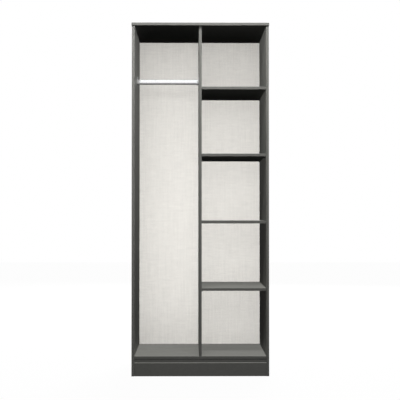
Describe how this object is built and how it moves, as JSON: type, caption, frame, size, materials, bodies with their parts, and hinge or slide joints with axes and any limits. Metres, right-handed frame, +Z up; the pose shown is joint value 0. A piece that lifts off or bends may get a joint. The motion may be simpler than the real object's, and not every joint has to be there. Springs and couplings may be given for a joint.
{
  "type": "wardrobe carcass",
  "caption": "Tall open-front wardrobe: a hanging bay with an oval rail beside a shelved bay, on a recessed plinth, in faced board with a woven-look back.",
  "frame": {"origin": "on the floor, at the centre of the overall box", "axes": "+X to the right across the front, the open front faces -Y, +Z up"},
  "size_m": [0.769, 0.53, 1.97],
  "materials": {
    "graphite_board": "graphite melamine-faced chipboard, fine satin texture, matching edging",
    "linen_hardboard": "hardboard, printed off-white linen weave on the front, brown fibre on the rear",
    "rail_chrome": "bright plated steel tube",
    "bracket_zinc": "plated die-cast zinc",
    "screw_steel": "zinc-plated steel",
    "cam_zinc": "raw die-cast zinc",
    "cap_plastic": "graphite moulded plastic",
    "beech": "bare turned beech",
    "pin_steel": "black-finished steel"
  },
  "bodies": {
    "carcass": {"top_panel": "graphite_board", "left_side_panel": "graphite_board", "right_side_panel": "graphite_board", "centre_divider": "graphite_board", "bottom_panel": "graphite_board", "plinth_front": "graphite_board", "plinth_rail": "graphite_board", "plinth_back_rail": "graphite_board", "shelf_3": "graphite_board", "back_panel_left": "linen_hardboard", "back_panel_right": "linen_hardboard", "rail_bracket_left": "bracket_zinc", "rail_bracket_right": "bracket_zinc", "rail_bracket_screws": "screw_steel", "cam_bolts": "screw_steel", "cam_locks": "cam_zinc", "cam_caps": "cap_plastic", "wood_dowels": "beech", "divider_screws": "screw_steel", "plinth_screws": "screw_steel", "back_panel_nails": "screw_steel", "shelf_pins": "pin_steel"},
    "shelf_1": {"shelf_1": "graphite_board"},
    "shelf_2": {"shelf_2": "graphite_board"},
    "shelf_4": {"shelf_4": "graphite_board"},
    "rail": {"hanging_rail": "rail_chrome"}
  },
  "joints": [
    {"name": "shelf_1_out", "type": "slide", "parent": "carcass", "child": "shelf_1", "axis": [0, -1, 0], "range_m": [0, 0.5]},
    {"name": "shelf_2_out", "type": "slide", "parent": "carcass", "child": "shelf_2", "axis": [0, -1, 0], "range_m": [0, 0.5]},
    {"name": "shelf_4_out", "type": "slide", "parent": "carcass", "child": "shelf_4", "axis": [0, -1, 0], "range_m": [0, 0.5]},
    {"name": "rail_lift", "type": "slide", "parent": "carcass", "child": "rail", "axis": [0, 0, 1], "range_m": [0, 0.04]}
  ]
}
